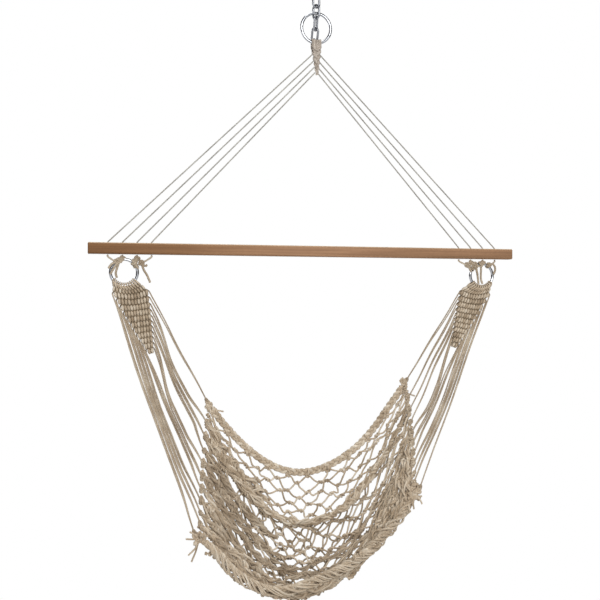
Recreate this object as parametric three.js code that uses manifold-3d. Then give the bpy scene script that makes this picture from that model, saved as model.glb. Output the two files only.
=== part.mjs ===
// Hammock chair that hangs from one hook: steel links and rings, a wooden
// spreader bar, woven clew bands with their fans of cords, and a knotted net seat.
// Millimetres, +Z up, the sitter faces -Y. The origin is the point inside the
// top link where the hook bears. Most sizes are measured from the bar's centre.

import * as THREE from 'three';
import { mergeVertices } from 'three/addons/utils/BufferGeometryUtils.js';
import Module from 'manifold-3d';

const wasm = await Module();
wasm.setup();

// Spreader bar
const barLength = 900;
const barSection = 22;
const barEdgeRadius = 2.5;
const barEndBevel = 1.2;
const holeSlack = 0.9;
const holePitch = 28;
const holesPerSide = 4;
const endToFirstHole = 38;

// Rope and running gaps
const hangingCord = 3;
const fanCord = 2.4;
const seatGap = 0.3;
const overrun = 1;

// Chain links
const linkWire = 4.5;
const linkLength = 33;
const linkWidth = 20;
const linkTurn = 55;
const hangingTurn = 20;
const crownGap = 0.8;
const tailLeans = [13, 26, 12];

// Rings
const ringWire = 6;
const topRingDiameter = 68;
const topRingHeight = 462;
const topRingOffset = 9;
const lowerRingDiameter = 58;
const firstHoleToRing = 31;
const lowerRingClearance = 7;

// Top braid: where its cords leave, as shares of its length
const braidLength = 64;
const braidHalfWidth = 10;
const braidStrand = 9;
const braidDepth = 5;
const wrapRope = 3;
const braidTierShares = [0.1, 0.375, 0.61, 0.82, 1];
const braidWidthShares = [0.95, 1, 0.8, 0.6, 0.42];
const slantShare = 0.75;

// Ties that carry the lower rings
const tieAngles = [52, 27, -27, -52];
const tieKnot = 7;
const tieTail = 24;
const tieTurns = 2;

// Woven clew bands
const clewRows = 11;
const clewPitch = 11.3;
const clewTipHalfWidth = 7;
const clewFirstLine = 44;
const clewArch = 9;
const clewArchRows = 4;
const clewThickness = 9;
const clewRibPitch = 4.9;
const wrapAngle = 59;
const wallShare = 0.75;
const grooveShare = 0.5;
const valleyShare = 0.62;
const rowTurnFirstShare = 0.15;
const rowTurnLastShare = 0.7;
const clewAimShare = 0.7;

// Seat: its back edge, its front edge and the belly between them
const backKnotReach = 220;
const backKnotDrop = 300;
const backLean = 18;
const backShift = 7;
const backSag = 170;
const backDepth = 60;
const frontKnotReach = 230;
const frontKnotDrop = 524;
const frontLean = 31;
const frontShift = 14;
const frontSag = 138;
const frontDepth = 70;
const bellySag = 100;
const backRope = 13;
const frontRope = 10;
const backEndKnot = 17;
const frontEndKnot = 15;

// Net and the knots that tie the fan cords to it
const netColumns = 10;
const netRows = clewRows - 1;
const netStrand = 3.4;
const netKnotRise = 1.6;
const fanKnot = 8;

// Counts of faces
const cordSides = 6;
const ringSides = 8;
const ringSteps = 24;
const crownSteps = 6;
const boreSides = 10;
const wrapSides = 6;
const ropeSides = 8;
const ropeSteps = netColumns * 2;
const edgeArcSteps = 3;

// Finishes: each is a colour, a roughness and a metalness
const finishes = {
  steel: new THREE.MeshStandardMaterial({ color: '#b9bcc0', roughness: 0.22, metalness: 1 }),
  zinc: new THREE.MeshStandardMaterial({ color: '#a9abb0', roughness: 0.38, metalness: 1 }),
  wood: new THREE.MeshStandardMaterial({ color: '#a87852', roughness: 0.5, metalness: 0 }),
  rope: new THREE.MeshStandardMaterial({ color: '#a8967d', roughness: 0.85, metalness: 0 }),
};

// Derived heights, measured from the bar's centre
const barTop = barSection / 2;
const holeDiameter = hangingCord + holeSlack;
const topRingRadius = (topRingDiameter - ringWire) / 2;
const lowerRingRadius = (lowerRingDiameter - ringWire) / 2;
const lowerRingReach = barLength / 2 - endToFirstHole - firstHoleToRing;
const lowerRingHeight = -barTop - lowerRingClearance - lowerRingDiameter / 2;
const hingeHeight = -barTop - seatGap - hangingCord / 2;
const linkPitch = linkLength - linkWire;
const ringWireTop = topRingHeight + topRingRadius;
const firstTailTop = ringWireTop - (ringWire + linkWire) / 2 - crownGap;
const ringLinkFoot = firstTailTop - linkWire - crownGap;
const ringLinkTop = ringLinkFoot + linkPitch;
const hangingLinkFoot = ringLinkTop - linkWire - crownGap;
const hookHeight = hangingLinkFoot + linkPitch - linkWire / 2;

const up = new THREE.Vector3(0, 0, 1);
const across = new THREE.Vector3(1, 0, 0);
const ahead = new THREE.Vector3(0, 1, 0);
const radians = THREE.MathUtils.degToRad;
const capAngle = Math.PI / 5;

function point(x, y, z) {
  return new THREE.Vector3(x, y, z);
}

// Solid helpers

// Turns a geometry's faces outwards when its signed volume is negative.
function facingOut(positions, triangles) {
  let volume = 0;
  for (const [a, b, c] of triangles) {
    volume += positions[a].dot(positions[b].clone().cross(positions[c]));
  }
  const flat = [];
  for (const [a, b, c] of triangles) {
    if (volume > 0) flat.push(a, b, c);
    else flat.push(a, c, b);
  }
  const geometry = new THREE.BufferGeometry();
  geometry.setFromPoints(positions);
  geometry.setIndex(flat);
  geometry.computeVertexNormals();
  return geometry;
}

// Closed skin over a row of rings. Rings may differ in their number of points: the
// strip between two of them keeps in step with both. A joined row meets its own
// start; an open one is capped by strips from side to side.
function skin(rings, joined = false) {
  const starts = [];
  let total = 0;
  for (const ring of rings) {
    starts.push(total);
    total += ring.length;
  }
  const triangles = [];
  const spans = joined ? rings.length : rings.length - 1;
  for (let i = 0; i < spans; i++) {
    const other = (i + 1) % rings.length;
    const here = rings[i].length;
    const next = rings[other].length;
    let j = 0;
    let k = 0;
    while (j < here || k < next) {
      const a = starts[i] + (j % here);
      const b = starts[other] + (k % next);
      if (k === next || (j < here && (j + 1) * next <= (k + 1) * here)) {
        j++;
        triangles.push([a, starts[i] + (j % here), b]);
      } else {
        k++;
        triangles.push([a, starts[other] + (k % next), b]);
      }
    }
  }
  if (!joined) {
    for (const [ring, start, flip] of [[rings[0], 0, false], [rings.at(-1), starts.at(-1), true]]) {
      for (let j = 0; j < ring.length / 2 - 1; j++) {
        const far = ring.length - 1 - j;
        const quad = [j, far, far - 1, j + 1].map((corner) => start + corner);
        if (flip) quad.reverse();
        triangles.push([quad[0], quad[1], quad[2]], [quad[0], quad[2], quad[3]]);
      }
    }
  }
  return facingOut(rings.flat(), triangles);
}

// Round section of a tube: a ring of points about a centre, square to a direction.
function roundSection(centre, direction, side, radius, sides) {
  const normal = side.clone().projectOnPlane(direction).normalize();
  const other = direction.clone().cross(normal).normalize();
  const ring = [];
  for (let j = 0; j < sides; j++) {
    const angle = ((j + 0.5) / sides) * Math.PI * 2;
    const spoke = normal.clone().multiplyScalar(Math.cos(angle) * radius);
    ring.push(spoke.addScaledVector(other, Math.sin(angle) * radius).add(centre));
  }
  return ring;
}

// Tube through a list of points, mitred where it bends.
function tube(points, radius, sides, side = ahead, joined = false) {
  const rings = [];
  const count = points.length;
  for (let i = 0; i < count; i++) {
    const before = joined ? points[(i + count - 1) % count] : points[Math.max(i - 1, 0)];
    const after = joined ? points[(i + 1) % count] : points[Math.min(i + 1, count - 1)];
    const into = points[i].clone().sub(before).normalize();
    const out = after.clone().sub(points[i]).normalize();
    const direction = into.add(out).normalize();
    const size = Array.isArray(radius) ? radius[i] : radius;
    rings.push(roundSection(points[i], direction, side, size, sides));
  }
  return skin(rings, joined);
}

// Rope turns round a stretch of ring wire: ribs outside and an open bore inside.
function wrapOnWire(centre, radius, fromAngle, toAngle, turns, rope) {
  const boreRadius = (ringWire / 2 + seatGap) / Math.cos(Math.PI / wrapSides);
  const crest = ringWire / 2 + seatGap + rope;
  const valley = crest - rope / 3;
  const station = (angle, size) => {
    const spoke = point(Math.sin(angle), 0, Math.cos(angle));
    const along = point(Math.cos(angle), 0, -Math.sin(angle));
    const middle = centre.clone().addScaledVector(spoke, radius);
    return roundSection(middle, along, ahead, size, wrapSides);
  };
  const rings = [];
  const outer = turns * 2;
  for (let i = 0; i <= outer; i++) {
    const angle = fromAngle + ((toAngle - fromAngle) * i) / outer;
    rings.push(station(angle, i % 2 ? crest : valley));
  }
  for (let i = turns; i >= 0; i--) {
    const angle = fromAngle + ((toAngle - fromAngle) * i) / turns;
    rings.push(station(angle, boreRadius));
  }
  return skin(rings, true);
}

// Three stations of a tube where a knot sits on a cord: the knot's far side, its
// middle, and the cord where it leaves. A knot of the cord's own size is a round end.
function knotStations(centre, towards, knot, cord) {
  const half = knot / 2;
  return {
    points: [
      centre.clone().addScaledVector(towards, -half * Math.cos(capAngle)),
      centre.clone(),
      centre.clone().addScaledVector(towards, half),
    ],
    sizes: [half * Math.sin(capAngle), half, cord / 2],
  };
}

function toSolid(geometry) {
  const bare = geometry.clone();
  bare.deleteAttribute('normal');
  bare.deleteAttribute('uv');
  const merged = mergeVertices(bare);
  const vertProperties = new Float32Array(merged.attributes.position.array);
  const triVerts = new Uint32Array(merged.index.array);
  return new wasm.Manifold(new wasm.Mesh({ numProp: 3, vertProperties, triVerts }));
}

function toGeometry(solid) {
  const mesh = solid.getMesh();
  const geometry = new THREE.BufferGeometry();
  geometry.setAttribute('position', new THREE.BufferAttribute(mesh.vertProperties, mesh.numProp));
  geometry.setIndex(new THREE.BufferAttribute(mesh.triVerts, 1));
  geometry.computeVertexNormals();
  return geometry;
}

function joinAll(geometries) {
  const solids = geometries.map(toSolid);
  return toGeometry(solids.reduce((whole, next) => whole.add(next)));
}

// Scene graph: the chair is drawn about the bar's centre and hangs from the origin.
const group = new THREE.Group();
const chair = new THREE.Group();
chair.position.set(-topRingOffset, 0, -hookHeight);
group.add(chair);

function addPiece(name, geometry, finish) {
  const mesh = new THREE.Mesh(geometry, finish);
  mesh.name = name;
  chair.add(mesh);
  return mesh;
}

// Chain: each link is a straight-sided loop of round wire, turned about the
// vertical against its neighbours so that the wires cross in each other's eyes.
function linkGeometry() {
  const crown = (linkWidth - linkWire) / 2;
  const straight = linkPitch - crown * 2;
  const route = [];
  for (const end of [1, -1]) {
    for (let i = 0; i <= crownSteps; i++) {
      const angle = (i / crownSteps) * Math.PI;
      const x = end * crown * Math.cos(angle);
      const z = end * (straight / 2 + crown * Math.sin(angle)) - linkPitch / 2;
      route.push(point(x, 0, z));
    }
  }
  return tube(route, linkWire / 2, ringSides, ahead, true);
}

// A link hangs below the point that its top crown's wire is centred on.
function addLink(name, crownPoint, turn, lean) {
  const hanger = new THREE.Group();
  hanger.position.copy(crownPoint);
  hanger.rotation.x = radians(lean);
  chair.add(hanger);
  const mesh = new THREE.Mesh(linkGeometry(), finishes.zinc);
  mesh.name = name;
  mesh.rotation.z = radians(turn);
  hanger.add(mesh);
}

function hangingDirection(lean) {
  return point(0, Math.sin(radians(lean)), -Math.cos(radians(lean)));
}

// Where the next link's crown sits when it hangs round this one's foot.
function nextCrown(crownPoint, lean, nextLean) {
  return crownPoint.clone()
    .addScaledVector(hangingDirection(lean), linkPitch)
    .addScaledVector(hangingDirection(nextLean), -(linkWire + crownGap));
}

addLink('hanging_link', point(topRingOffset, 0, hangingLinkFoot + linkPitch), hangingTurn, 0);
addLink('ring_link', point(topRingOffset, 0, ringLinkTop), -linkTurn, 0);

// The chain's spare links lean back over the braid, each round the one before
let tailCrown = point(topRingOffset, 0, firstTailTop);
tailLeans.forEach((lean, i) => {
  if (i > 0) tailCrown = nextCrown(tailCrown, tailLeans[i - 1], lean);
  addLink(`tail_link_${i + 1}`, tailCrown, i % 2 ? -linkTurn : linkTurn, lean);
});

// Rings of round wire that stand in the bar's own upright plane
function addRing(name, centre, radius) {
  const geometry = new THREE.TorusGeometry(radius, ringWire / 2, ringSides, ringSteps);
  geometry.rotateX(Math.PI / 2);
  geometry.translate(centre.x, centre.y, centre.z);
  addPiece(name, geometry, finishes.steel);
}

const topRingCentre = point(topRingOffset, 0, topRingHeight);
const ringCentres = {
  left: point(-lowerRingReach, 0, lowerRingHeight),
  right: point(lowerRingReach, 0, lowerRingHeight),
};
addRing('top_ring', topRingCentre, topRingRadius);
addRing('left_ring', ringCentres.left, lowerRingRadius);
addRing('right_ring', ringCentres.right, lowerRingRadius);

// Spreader bar: a square section with eased edges, drilled down through for the cords
function barOutline() {
  const half = barSection / 2;
  const shape = new THREE.Shape();
  for (let corner = 0; corner < 4; corner++) {
    const turn = (corner * Math.PI) / 2;
    const inset = half - barEdgeRadius;
    const cx = (corner === 0 || corner === 3 ? 1 : -1) * inset;
    const cy = (corner < 2 ? 1 : -1) * inset;
    for (let i = 0; i <= edgeArcSteps; i++) {
      const angle = turn + (i / edgeArcSteps) * (Math.PI / 2);
      const x = cx + Math.cos(angle) * barEdgeRadius;
      const y = cy + Math.sin(angle) * barEdgeRadius;
      if (corner === 0 && i === 0) shape.moveTo(x, y);
      else shape.lineTo(x, y);
    }
  }
  shape.closePath();
  return shape;
}

function holePlace(index) {
  return barLength / 2 - endToFirstHole - index * holePitch;
}

function barGeometry() {
  const body = new THREE.ExtrudeGeometry(barOutline(), {
    depth: barLength - barEndBevel * 2,
    bevelEnabled: true,
    bevelThickness: barEndBevel,
    bevelSize: barEndBevel,
    bevelOffset: -barEndBevel,
    bevelSegments: 1,
  });
  body.translate(0, 0, barEndBevel - barLength / 2);
  body.rotateY(Math.PI / 2);
  let solid = toSolid(body);
  for (const sign of [-1, 1]) {
    for (let i = 0; i < holesPerSide; i++) {
      const drill = new THREE.CylinderGeometry(
        holeDiameter / 2, holeDiameter / 2, barSection + overrun * 2, boreSides);
      drill.rotateX(Math.PI / 2);
      drill.translate(sign * holePlace(i), 0, 0);
      solid = solid.subtract(toSolid(drill));
    }
  }
  return toGeometry(solid);
}
addPiece('spreader_bar', barGeometry(), finishes.wood);

// Top braid: two thick strands that cross in front and behind between tiers,
// under a wrap of rope round the ring. A cord leaves each side of each tier.
const braidTop = topRingHeight - topRingRadius;
const braidTiers = braidTierShares.map((share, i) => {
  const width = braidHalfWidth * braidWidthShares[i];
  const thickness = Math.min(braidStrand, width) / 2;
  return { z: braidTop - braidLength * share, reach: width - thickness, thickness, width };
});

function braidStrandRoute(sign) {
  const route = [];
  const sizes = [];
  braidTiers.forEach((tier, i) => {
    const hand = sign * (i % 2 ? -1 : 1);
    if (i > 0) {
      const above = braidTiers[i - 1];
      const face = hand * braidDepth / 2;
      route.push(point(topRingOffset, face, (above.z + tier.z) / 2));
      sizes.push((above.thickness + tier.thickness) / 2);
    }
    route.push(point(topRingOffset + hand * tier.reach, 0, tier.z));
    sizes.push(tier.thickness);
  });
  return tube(route, sizes, cordSides);
}

function braidGeometry() {
  const half = Math.asin(braidHalfWidth / topRingRadius);
  const sleeve = wrapOnWire(
    topRingCentre, topRingRadius, Math.PI - half, Math.PI + half, holesPerSide, wrapRope);
  return joinAll([sleeve, braidStrandRoute(1), braidStrandRoute(-1)]);
}
addPiece('top_braid', braidGeometry(), finishes.rope);

// Suspension cords: from a tier of the braid, straight to a hole and down through it
function suspensionCord(sign, index) {
  const tier = braidTiers[index + 1];
  const radius = hangingCord / 2;
  const reach = tier.width + seatGap + radius * slantShare;
  const start = point(topRingOffset + sign * reach, 0, tier.z);
  const bend = point(sign * holePlace(index), 0, barTop + radius);
  const end = point(bend.x, 0, -barTop);
  return tube([start, bend, end], radius, cordSides);
}

// Ties: turns round a lower ring, a knot on them, a tail, and a cord up to its
// hole whose rounded end is centred on the line that the seat swings about
function tieGeometry(sign, index) {
  const centre = sign > 0 ? ringCentres.right : ringCentres.left;
  const angle = radians(tieAngles[index]) * sign;
  const halfTurn = (fanCord * tieTurns) / 2 / lowerRingRadius;
  const collar = wrapOnWire(
    centre, lowerRingRadius, angle - halfTurn, angle + halfTurn, tieTurns, fanCord);
  const spoke = point(Math.sin(angle), 0, Math.cos(angle));
  const knotPlace = centre.clone().addScaledVector(
    spoke, lowerRingRadius + (ringWire + tieKnot) / 2 + seatGap);
  const hinge = point(sign * holePlace(index), 0, hingeHeight);
  const down = knotPlace.clone().sub(hinge).normalize();
  const top = knotStations(hinge, down, hangingCord, hangingCord);
  const knot = knotStations(knotPlace, down.clone().negate(), tieKnot, hangingCord);
  const cord = tube(
    [...top.points, ...knot.points.reverse()], [...top.sizes, ...knot.sizes.reverse()], cordSides);
  const tailTop = knotPlace.clone().addScaledVector(ahead, -tieKnot / 4);
  const front = -(ringWire / 2 + seatGap + fanCord + hangingCord);
  const tailBend = point(knotPlace.x, front, knotPlace.z - tieKnot / 2);
  const tailEnd = tailBend.clone().addScaledVector(up, -tieTail);
  const tail = tube([tailTop, tailBend, tailEnd], hangingCord / 2, cordSides);
  return joinAll([collar, cord, tail]);
}

// Seat surface: across runs from -1 at the left side to 1 at the right, and
// deep from 0 at the back edge to 1 at the front edge.
function between(from, to, share) {
  return from + (to - from) * share;
}

function seatPoint(acrossShare, deepShare) {
  const bow = 1 - acrossShare * acrossShare;
  const belly = bellySag * 4 * deepShare * (1 - deepShare);
  const sag = between(backSag, frontSag, deepShare) + belly;
  const drop = between(backKnotDrop, frontKnotDrop, deepShare);
  const lean = between(backLean, frontLean, deepShare);
  const shift = between(backShift, -frontShift, deepShare);
  return point(
    shift + acrossShare * between(backKnotReach, frontKnotReach, deepShare),
    between(backDepth, -frontDepth, deepShare),
    acrossShare * lean - drop - sag * bow);
}

function seatFrame(acrossShare, deepShare) {
  const stepShare = 0.01;
  const place = seatPoint(acrossShare, deepShare);
  const side = seatPoint(acrossShare + stepShare, deepShare).sub(place).normalize();
  const down = seatPoint(acrossShare, deepShare + stepShare).sub(place).normalize();
  const normal = side.clone().cross(down).normalize();
  return { place, side, down, normal };
}

// Net: a lattice of crossings, each a small four-cornered knot with a raised
// middle on both faces, and a flat strand to each of its four neighbours
const netCorner = netStrand / Math.SQRT2;

function netGeometry() {
  const wide = netColumns * 2;
  const deep = netRows * 2;
  const points = [];
  const triangles = [];
  const first = new Map();
  const key = (i, j) => i * (deep + 1) + j;
  for (let i = 0; i <= wide; i++) {
    for (let j = i % 2; j <= deep; j += 2) {
      const frame = seatFrame((i / wide) * 2 - 1, j / deep);
      const arms = [frame.side, frame.down, frame.side.clone().negate(), frame.down.clone().negate()];
      first.set(key(i, j), points.length);
      for (const face of [1, -1]) {
        const lift = frame.normal.clone().multiplyScalar((face * netStrand) / 2);
        for (const arm of arms) {
          points.push(frame.place.clone().addScaledVector(arm, netCorner).add(lift));
        }
        const rise = face * (netStrand / 2 + netKnotRise);
        points.push(frame.place.clone().addScaledVector(frame.normal, rise));
      }
    }
  }
  const steps = [[1, 1], [-1, 1], [-1, -1], [1, -1]];
  const faceSize = steps.length + 1;
  const quad = (a, b, c, d) => triangles.push([a, b, c], [a, c, d]);
  for (let i = 0; i <= wide; i++) {
    for (let j = i % 2; j <= deep; j += 2) {
      const base = first.get(key(i, j));
      steps.forEach(([di, dj], m) => {
        const n = (m + 1) % steps.length;
        triangles.push([base + steps.length, base + m, base + n]);
        triangles.push([base + faceSize + steps.length, base + faceSize + n, base + faceSize + m]);
        const inside = i + di >= 0 && i + di <= wide && j + dj >= 0 && j + dj <= deep;
        if (!inside) {
          quad(base + m, base + faceSize + m, base + faceSize + n, base + n);
        } else if (m < 2) {
          const other = first.get(key(i + di, j + dj));
          const near = other + (m + 3) % steps.length;
          const far = other + (m + 2) % steps.length;
          quad(base + m, near, far, base + n);
          quad(base + faceSize + n, far + faceSize, near + faceSize, base + faceSize + m);
          quad(base + m, base + faceSize + m, near + faceSize, near);
          quad(far, far + faceSize, base + faceSize + n, base + n);
        }
      });
    }
  }
  return facingOut(points, triangles);
}

// Edge ropes: one along the net's back edge and one along its front edge, each
// ending in a knot just past the corner of the net
function edgeRope(deepShare, diameter, knot) {
  const outward = deepShare ? 1 : -1;
  const offset = diameter / 2 + netCorner + seatGap;
  const route = [];
  for (let i = 0; i <= ropeSteps; i++) {
    const frame = seatFrame((i / ropeSteps) * 2 - 1, deepShare);
    const square = frame.down.clone().projectOnPlane(frame.side).setLength(outward * offset);
    route.push(frame.place.clone().add(square));
  }
  const ends = [[route[0], route[1]], [route.at(-1), route.at(-2)]].map(([end, inner]) => {
    const inward = inner.clone().sub(end).normalize();
    const centre = end.clone().addScaledVector(inward, -knot / 2);
    return { centre, stations: knotStations(centre, inward, knot, diameter) };
  });
  const [left, right] = ends.map((end) => end.stations);
  const points = [...left.points, ...route.slice(1, -1), ...right.points.reverse()];
  const middle = route.slice(1, -1).map(() => diameter / 2);
  const sizes = [...left.sizes, ...middle, ...right.sizes.reverse()];
  return { geometry: tube(points, sizes, ropeSides), knots: ends.map((end) => end.centre) };
}

const backEdge = edgeRope(0, backRope, backEndKnot);
const frontEdge = edgeRope(1, frontRope, frontEndKnot);

// Clew band: rows of hitches between lines that cross its axis. The axis runs
// from the ring's centre towards a place on the seat's side.
const clewStep = fanCord + seatGap;

function clewAxis(sign) {
  const centre = sign > 0 ? ringCentres.right : ringCentres.left;
  const axis = seatPoint(sign, clewAimShare).sub(centre).setY(0).normalize();
  const outward = point(-axis.z, 0, axis.x).multiplyScalar(sign);
  return { centre, axis, outward, level: across.clone().multiplyScalar(sign) };
}

function clewHalfWidth(row) {
  return clewTipHalfWidth + (clewRows - Math.max(row, 1)) * clewStep;
}

// A place on the band: line counts rows down from the ring, reach is outward
// from the axis and face is towards the back.
function clewPoint(clew, line, reach, face) {
  const turnShare = between(rowTurnFirstShare, rowTurnLastShare, line / clewRows);
  const direction = clew.level.clone().lerp(clew.outward, turnShare).normalize();
  const archShare = Math.max(0, 1 - (line - 1) / clewArchRows);
  const edgeShare = reach / clewHalfWidth(1);
  const depth = clewFirstLine + (line - 1) * clewPitch - clewArch * archShare * edgeShare ** 2;
  return clew.centre.clone()
    .addScaledVector(clew.axis, depth)
    .addScaledVector(direction, reach)
    .addScaledVector(ahead, face);
}

function clewRibs(row) {
  return Math.max(2, Math.round((clewHalfWidth(row) * 2) / clewRibPitch));
}

// Where the band's first row leaves the ring: inside the wrap's outer turns
function clewRingPoint(clew, share, face) {
  const wallRadius = lowerRingRadius + ringWire / 2 + seatGap + fanCord * wallShare;
  const angle = share * radians(wrapAngle);
  return clew.centre.clone()
    .addScaledVector(clew.level, Math.sin(angle) * wallRadius)
    .addScaledVector(up, -Math.cos(angle) * wallRadius)
    .addScaledVector(ahead, face);
}

// The band is one skin: a thin groove on every line, and half-way to the next
// line a crest where each hitch bulges on both faces. Row 0 is the loops that
// come off the ring's wrap.
function clewBandGeometry(sign) {
  const clew = clewAxis(sign);
  const thick = clewThickness / 2;
  const rings = [];
  for (let row = 0; row <= clewRows + 1; row++) {
    const lineRow = Math.min(row, clewRows);
    const half = clewHalfWidth(lineRow);
    const ribs = clewRibs(lineRow);
    const onLine = (share, face) => clewPoint(clew, row, share * half, face);
    const groove = row === 0 ? (share, face) => clewRingPoint(clew, share, face) : onLine;
    rings.push(clewRing(groove, ribs, () => thick * grooveShare));
    if (row > clewRows) break;
    const onCrest = (share, face) => clewPoint(clew, row + 1 / 2, share * half, face);
    const offRing = (share, face) => {
      const below = clewPoint(clew, 1, share * half, face);
      return clewRingPoint(clew, share, face).lerp(below, 1 / 2);
    };
    const bulge = (j) => thick * (j % 2 ? 1 : valleyShare);
    rings.push(clewRing(row === 0 ? offRing : onCrest, ribs * 2, bulge));
  }
  const half = radians(wrapAngle);
  const sleeve = wrapOnWire(
    clew.centre, lowerRingRadius, Math.PI - half, Math.PI + half, clewRibs(0), fanCord * 3 / 2);
  return joinAll([sleeve, skin(rings)]);
}

// A closed ring of the band: its front face from side to side, then its back
function clewRing(placeAt, steps, thickAt) {
  const front = [];
  const back = [];
  for (let j = 0; j <= steps; j++) {
    const share = (j * 2) / steps - 1;
    front.push(placeAt(share, -thickAt(j)));
    back.unshift(placeAt(share, thickAt(j)));
  }
  return [...front, ...back];
}

// Fan cords: each row of a band gives up one cord at each end. The inner ones
// run to the back of the seat's side and the outer ones to its front, tied in
// pairs, so the lowest rows serve the middle. The pairs leave the band in two
// layers by turns, because next to the tip they run close beside each other.
function fanStart(clew, slot, face) {
  const inner = slot < clewRows;
  const row = inner ? slot + 1 : clewRows * 2 - slot;
  // The tip's outer cord slants in past the tip, so it starts further out
  const standOff = slot === clewRows ? fanCord / 2 : 0;
  const reach = clewHalfWidth(row) + seatGap + fanCord / 2 + standOff;
  return clewPoint(clew, row + 1 / 2, inner ? -reach : reach, face);
}

function fanPairGeometry(sign, pair) {
  const clew = clewAxis(sign);
  const face = ((pair % 2 ? 1 : -1) * clewStep) / 2;
  const starts = [fanStart(clew, pair * 2, face), fanStart(clew, pair * 2 + 1, face)];
  const middle = starts[0].clone().lerp(starts[1], 1 / 2);
  let anchor = seatPoint(sign, pair / netRows);
  let hold = netCorner;
  if (pair === 0) {
    anchor = backEdge.knots[sign > 0 ? 1 : 0];
    hold = backEndKnot / 2;
  }
  if (pair === netRows) {
    anchor = frontEdge.knots[sign > 0 ? 1 : 0];
    hold = frontEndKnot / 2;
  }
  const pull = middle.clone().sub(anchor).normalize();
  const reach = hold + seatGap + (fanKnot / 2) * Math.cos(capAngle);
  const knotPlace = anchor.clone().addScaledVector(pull, reach);
  const knot = knotStations(knotPlace, pull, fanKnot, fanCord);
  const cord = fanCord / 2;
  return joinAll([
    tube([...knot.points, starts[0]], [...knot.sizes, cord], cordSides),
    tube([knotPlace, starts[1]], cord, cordSides),
  ]);
}

for (const [side, sign] of [['left', -1], ['right', 1]]) {
  for (let i = 0; i < holesPerSide; i++) {
    addPiece(`suspension_cord_${side}_${i + 1}`, suspensionCord(sign, i), finishes.rope);
    addPiece(`ring_tie_${side}_${i + 1}`, tieGeometry(sign, i), finishes.rope);
  }
  addPiece(`clew_band_${side}`, clewBandGeometry(sign), finishes.rope);
  for (let i = 0; i < clewRows; i++) {
    const number = String(i + 1).padStart(2, '0');
    addPiece(`clew_cords_${side}_${number}`, fanPairGeometry(sign, i), finishes.rope);
  }
}
addPiece('seat_net', netGeometry(), finishes.rope);
addPiece('back_edge_rope', backEdge.geometry, finishes.rope);
addPiece('front_edge_rope', frontEdge.geometry, finishes.rope);

export default group;
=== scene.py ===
from collections import namedtuple
from functools import partial
from math import asin, atan2, cos, exp, pi, radians, sin, sqrt
from random import Random
import bpy
from mathutils import Matrix, Vector


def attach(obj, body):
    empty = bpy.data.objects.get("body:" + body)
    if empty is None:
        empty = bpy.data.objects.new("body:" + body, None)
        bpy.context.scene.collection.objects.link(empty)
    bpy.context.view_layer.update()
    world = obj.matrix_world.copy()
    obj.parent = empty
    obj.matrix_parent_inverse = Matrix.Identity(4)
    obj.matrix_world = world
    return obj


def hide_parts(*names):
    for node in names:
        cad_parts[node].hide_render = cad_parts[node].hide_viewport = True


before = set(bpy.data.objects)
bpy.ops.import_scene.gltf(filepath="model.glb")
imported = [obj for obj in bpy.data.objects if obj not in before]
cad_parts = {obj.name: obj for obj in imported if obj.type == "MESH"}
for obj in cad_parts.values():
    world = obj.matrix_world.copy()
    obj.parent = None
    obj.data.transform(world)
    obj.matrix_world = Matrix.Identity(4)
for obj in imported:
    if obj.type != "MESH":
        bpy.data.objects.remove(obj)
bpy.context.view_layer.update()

# ---------- sizes, in mm
# Drawn about the bar's middle, which lies here from where the chair hangs.
BAR_MIDDLE = Vector((-9, 0, -531.1))
BAR_LENGTH, BAR_SECTION = 900, 22
BAR_TOP = BAR_SECTION / 2
HOLE_PITCH, FIRST_HOLE, HOLES = 28, 38, 4
HANGING_CORD, FAN_CORD, GAP = 3, 2.4, 0.3
# the chain: its links' size, their turns and the spare ones' lean in degrees, and the
# room between two crowns
LINK_WIRE, LINK_LENGTH, LINK_WIDTH, LINK_TURN, HANGING_TURN = 4.5, 33, 20, 55, 20
CROWN_GAP = 0.8
TAIL_LEANS = (13, 26, 12)
RING_WIRE, TOP_RING, LOWER_RING = 6, 68, 58
TOP_RING_CENTRE = Vector((9, 0, 462))
LOWER_RING_REACH = 381
LOWER_RING_HEIGHT = -BAR_TOP - 7 - LOWER_RING / 2
TOP_RADIUS = (TOP_RING - RING_WIRE) / 2
LOWER_RADIUS = (LOWER_RING - RING_WIRE) / 2
# where along the braid the cords leave, and its share of the width there
BRAID_LENGTH, BRAID_HALF = 64, 10
BRAID_TIERS = ((0.375, 1), (0.61, 0.8), (0.82, 0.6), (1, 0.42))
# the hitched bands: rows of ribs that narrow to a tip, the first ones arched about the
# ring. In degrees, the wrap's half angle; and where on the seat's side the bands aim.
CLEW_ROWS, CLEW_PITCH, CLEW_TIP, CLEW_FIRST = 11, 11.3, 7, 44
CLEW_ARCH, CLEW_ARCH_ROWS, RIB_PITCH, RIB_RISE = 9, 4, 6, 3.5
WRAP_ANGLE = 59
ROW_TURN = (0.15, 0.7)
CLEW_AIM = 0.7
# the seat's edges: half width, drop below the bar, rise and shift to the right, sag,
# place in depth, rope and end knot
BACK = dict(reach=220, drop=300, lean=18, shift=7, sag=170, y=60, rope=13, knot=17)
FRONT = dict(reach=230, drop=524, lean=31, shift=-14, sag=138, y=-70, rope=10, knot=15)
BELLY = 100
# the net: meshes across, rows, how many of them are open, and in what share of it
NET_ACROSS, NET_DEEP, OPEN_ROWS, OPEN_DEEP = 20, 30, 7, 0.17
NET_STRAND, KNOT_REACH = 3.4, 5.2
NET_CORNER = NET_STRAND / sqrt(2)
FAN_KNOT = 8

UP, ACROSS, AHEAD = Vector((0, 0, 1)), Vector((1, 0, 0)), Vector((0, 1, 0))
SIDES = (("left", -1), ("right", 1))
TURN = 2 * pi


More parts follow.
